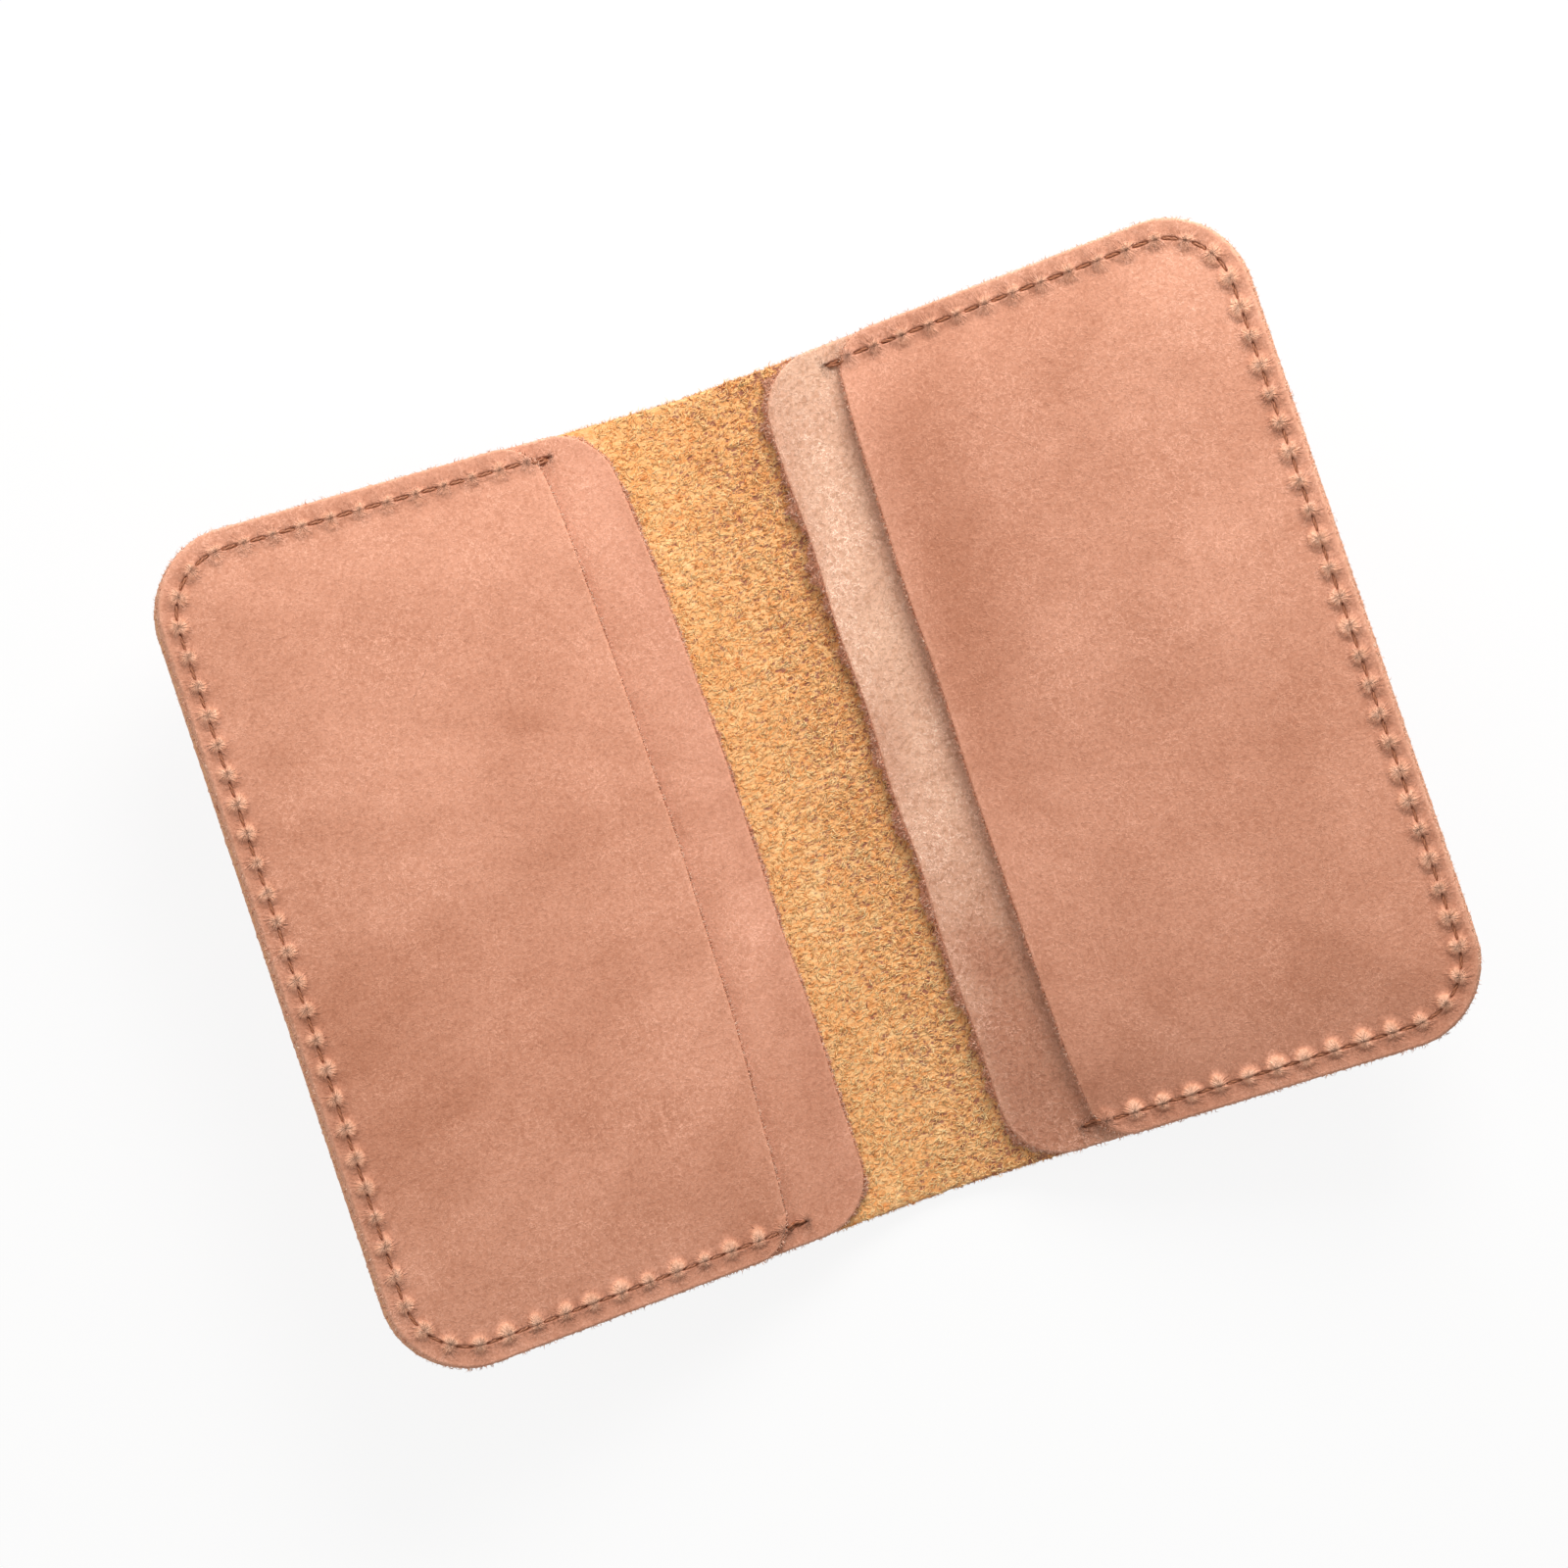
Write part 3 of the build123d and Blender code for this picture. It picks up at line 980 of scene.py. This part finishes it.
def make_cover(side_name, side, seed):
    """Half of the cover, from the middle of the spine, in rings open at that middle."""
    points, normals = cover_line()
    insets = rim_insets(points)
    shell = Shell()
    random = np.random.default_rng(seed)

    def inner(u, v):
        """The flesh side's height, lumpy where its nap is matted."""
        fine = flesh_relief * cloud(u, v, 1.3, seed)
        return fine + flesh_relief * cloud(u, v, 5.0, 6) - 0.03

    def across(u):
        """0 at the spine's middle, -1 at the left pocket's mouth and 1 at the right one's."""
        return side * (u - spine_middle) / (back_mouth - spine_middle)

    def inner_ring(uv, drop=0.0):
        placed = place(side, *uv.T, inner(*uv.T) + drop)
        # the flesh side's oil value carries painted shade, falling from 1 at the left mouth to -1
        # at the right
        return shell.add_points(placed, oil=-across(uv[:, 0]))

    def outer_ring(uv, drop=0.0, worn=0.0):
        height, values = stitch_relief(*uv.T, seed)
        placed = place(side, *uv.T, drop - cover_thickness - height)
        return shell.add_points(placed, worn=worn, **values)

    def inwards(inset):
        return points - np.reshape(inset, (-1, 1)) * normals

    def towards_middle(share):
        base = inwards(insets[-1])[::2]
        ratio = (half_length - end - spine_middle) / (half_length - spine_middle)
        target_u = spine_middle + (base[:, 0] - spine_middle) * ratio
        target = np.column_stack((target_u, np.zeros(len(base))))
        return base + (target - base) * share

    shares = 1 - np.arange(0, 30) / 29.5
    previous = inner_ring(towards_middle(shares[0]))
    for share in shares[1:]:
        current = inner_ring(towards_middle(share))
        shell.join_rings(previous, current, upper_slot, closed=False)
        previous = current
    for inset in plain_insets[::-1]:
        current = inner_ring(inwards(inset), -edge_drop(inset, cover_bevel))
        shell.join_rings(previous, current, upper_slot, closed=False)
        previous = current
    high = inner(*points.T) - cover_bevel
    low = bevel - cover_thickness
    # the cut is left raw over the spine, where nothing is sewn to it
    raw = np.clip((back_mouth + 2 - points[:, 0]) / 4, 0, 1)
    for step in wall_steps:
        proud = cut_roughness * random.normal(size=len(points)) * (1 + raw) + cut_swell
        # the two halves meet at the middle, so the ends of their edges aren't roughened
        proud[[0, -1]] = cut_swell
        edge_points = points + proud[:, None] * normals
        placed = place(side, *edge_points.T, high + (low - high) * step)
        current = shell.add_points(placed, raw=raw)
        shell.join_rings(previous, current, cut_slot, closed=False)
        previous = current
    for inset in insets:
        # the rim is rubbed pale and painted with a highlight where its rounding catches light
        worn = np.exp(-inset / wear_reach)
        current = outer_ring(inwards(inset), edge_drop(inset, bevel), worn)
        slot = cut_slot if inset[0] == 0 else under_slot
        shell.join_rings(previous, current, slot, closed=False)
        previous = current
    for share in np.append(shares[::-2], 1):
        current = outer_ring(towards_middle(share))
        shell.join_rings(previous, current, under_slot, closed=False)
        previous = current

    # the nap: fibres combed one way, and matted
    count = nap_fibres
    u = random.uniform(spine_middle, back_mouth + 0.6, count)
    v = random.uniform(-end + 0.1, end - 0.1, count)
    turn = combed + random.normal(0, 0.7, count)
    length = random.uniform(0.45, 1.15, count)
    heading = (side * np.cos(turn), np.sin(turn), random.uniform(0.05, 0.35, count))
    clumps = 0.09 * cloud(u, v, 1.7, seed + 1) + 0.05 * cloud(u, v, 6.0, seed + 2)
    # painted shade and light: the fibres darken towards the right half of the spine and pale
    # towards the -v end
    tone = 0.74 - 0.08 * across(u) - 0.10 * v / half_length + clumps
    tone = np.clip(tone + random.normal(0, 0.17, count), 0, 1)
    fibres(shell, side, (u, v, inner(u, v)), heading, length, nap_width, tone)
    # and the fuzz that stands out of the spine's two cut ends
    count = spine_end_fibres
    u = random.uniform(spine_middle + 0.5, back_mouth + 4, count)
    ends = np.where(random.uniform(0, 1, count) < 0.5, -1, 1)
    w = -random.uniform(0.05, 1.2, count)
    heading = (random.normal(0, 0.7, count), ends, random.normal(0.2, 0.4, count))
    length = random.uniform(0.25, 0.6, count)
    tone = random.uniform(0, 0.9, count)
    fibres(shell, side, (u, ends * (end - 0.1), w), heading, length, fuzz_width, tone)

    node = f"cover_{side_name}_half"
    made = shell.piece(f"{node}_leather", (flesh, edge, grain, nap), node)
    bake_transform(made)
    return made


make_cover("left", -1, 60)
right_cover = make_cover("right", 1, 80)
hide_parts("cover_right_half", "cover_spine")


# ---- Seam threads ----
plies = 3
ply_spacing = 0.75          # along the thread, from one ply to the next
ply_relief = 0.15           # how much of the thread's radius its plies stand out by
points_per_stitch = 18
points_round = 12


def thread_run(shell, side, first, last, face, aside=0.0, seed=0):
    """A twisted run of thread along part of a seam, diving into every hole."""
    steps = int(round((last - first) / pitch * points_per_stitch)) + 1
    along = np.linspace(first, last, steps)
    u, v, du, dv = seam_point(along)
    number = np.clip(np.round(along / pitch), 0, stitches).astype(int)
    from_hole = along - number * pitch
    random = np.random.default_rng(seed)
    stitch = np.floor(along / pitch).astype(int) % (stitches + 2)
    slant = random.normal(0, 0.04, stitches + 2)[stitch]
    inside = np.sin(along / pitch * pi) ** 2
    offset = aside * np.sqrt(inside) + slant * np.sin(along / pitch * 2 * pi)
    u = u + dv * offset
    v = v - du * offset
    from_end = np.minimum(along, seam_length - along)
    proud = doubled_rise * (aside > 0)
    depth = thread_sunk - proud + dive_depth * np.exp(-((from_hole / dive_reach) ** 2))
    if face == "inner":
        # the seam steps up on to the front pocket between its first two holes
        step_at = pitch - mouth_hole_inset + 0.35
        on_front = ease((from_end - step_at) / 0.9 + 0.75)
        w = panel_thickness * (1 + on_front) - depth
    else:
        w = -cover_thickness + depth
    centre = np.column_stack((u, v, w))
    tangent = np.gradient(centre, axis=0)
    tangent /= np.linalg.norm(tangent, axis=1)[:, None]
    sideways = np.column_stack((dv, -du, np.zeros(steps)))
    normal = np.cross(tangent, sideways)
    normal /= np.linalg.norm(normal, axis=1)[:, None]
    around = np.arange(points_round) / points_round * 2 * pi
    strides = np.linalg.norm(np.diff(centre, axis=0), axis=1)
    travelled = np.concatenate(([0], np.cumsum(strides)))
    previous = None
    for i in range(steps):
        lobes = np.cos(plies * around - travelled[i] * 2 * pi / ply_spacing)
        radius = thread_radius * (1 + ply_relief * lobes)
        ring = centre[i] + radius[:, None] * (
            np.cos(around)[:, None] * sideways[i] + np.sin(around)[:, None] * normal[i]
        )
        # the ply value paints the plies' tops paler and the hollows between them darker, painted
        # light and shade
        current = shell.add_points(place(side, *ring.T), ply=0.5 + 0.5 * lobes)
        if previous is not None:
            shell.join_rings(previous, current, upper_slot)
        else:
            shell.add_faces([tuple(current[::-1])], upper_slot)
        previous = current
    shell.add_faces([tuple(previous)], upper_slot)


for side_name, side, seed in (("left", -1, 5), ("right", 1, 6)):
    shell = Shell()
    thread_run(shell, side, 0, seam_length, "inner", seed=seed)
    thread_run(shell, side, 0, seam_length, "outer", seed=seed + 10)
    # the first and last stitches are sewn twice, over the front pocket's mouth
    for first in (0, seam_length - pitch):
        for face in ("inner", "outer"):
            thread_run(shell, side, first, first + pitch, face, doubled_apart, seed + 20)
    name = f"{side_name}_seam_thread"
    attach(shell.piece(f"{name}_twisted", (thread,), name), f"{side_name}_half")


# ---- Floor and light ----
def make_floor():
    """Matt white paper that shows as near white and keeps a soft shadow."""
    reach = 3.0
    shown_white = 0.88          # the share of what is seen that is plain white, and unlit
    mesh = bpy.data.meshes.new("floor")
    corners = [(-reach, -reach, 0), (reach, -reach, 0), (reach, reach, 0), (-reach, reach, 0)]
    mesh.from_pydata(corners, [], [(0, 1, 2, 3)])
    floor = bpy.data.objects.new("floor", mesh)
    bpy.context.scene.collection.objects.link(floor)
    material, tree = new_material("white_paper_floor")
    lit = add(tree, "BsdfDiffuse", {"Color": srgb("#F2F0EE")})
    glow = add(tree, "Emission", {"Color": (1, 1, 1, 1), "Strength": 1.0})
    ray = add(tree, "LightPath", out=None)
    seen = ray.outputs["Is Camera Ray"]
    for other in ("Is Glossy Ray", "Is Transmission Ray"):
        seen = add(tree, "Math", {0: seen, 1: ray.outputs[other]}, operation="MAXIMUM")
    seen = add(tree, "Math", {0: seen, 1: shown_white}, operation="MULTIPLY")
    mixed = add(tree, "MixShader", {0: seen, 1: lit, 2: glow})
    add(tree, "OutputMaterial", {"Surface": mixed}, None)
    mesh.materials.append(material)


def soft_light(name, place_at, size, power):
    """A square soft box in metres, aimed at the middle of the frame."""
    lamp = bpy.data.objects.new(name, bpy.data.lights.new(name, "AREA"))
    lamp.data.shape = "SQUARE"
    lamp.data.size = size
    lamp.data.energy = power
    lamp.location = place_at
    lamp.rotation_euler = (-Vector(place_at)).to_track_quat("-Z", "Y").to_euler()
    bpy.context.scene.collection.objects.link(lamp)


make_floor()
soft_light("window", (0.16, 0.27, 0.25), size=0.22, power=1.8)
soft_light("bounce", (-0.7, 0.2, 0.6), size=0.8, power=2.2)
world = bpy.data.worlds.new("pale_room")
bpy.context.scene.world = world
world.use_nodes = True
background = world.node_tree.nodes["Background"]
background.inputs["Color"].default_value = srgb("#FAFAFA")
background.inputs["Strength"].default_value = 0.35
bpy.context.scene.view_settings.view_transform = "Standard"
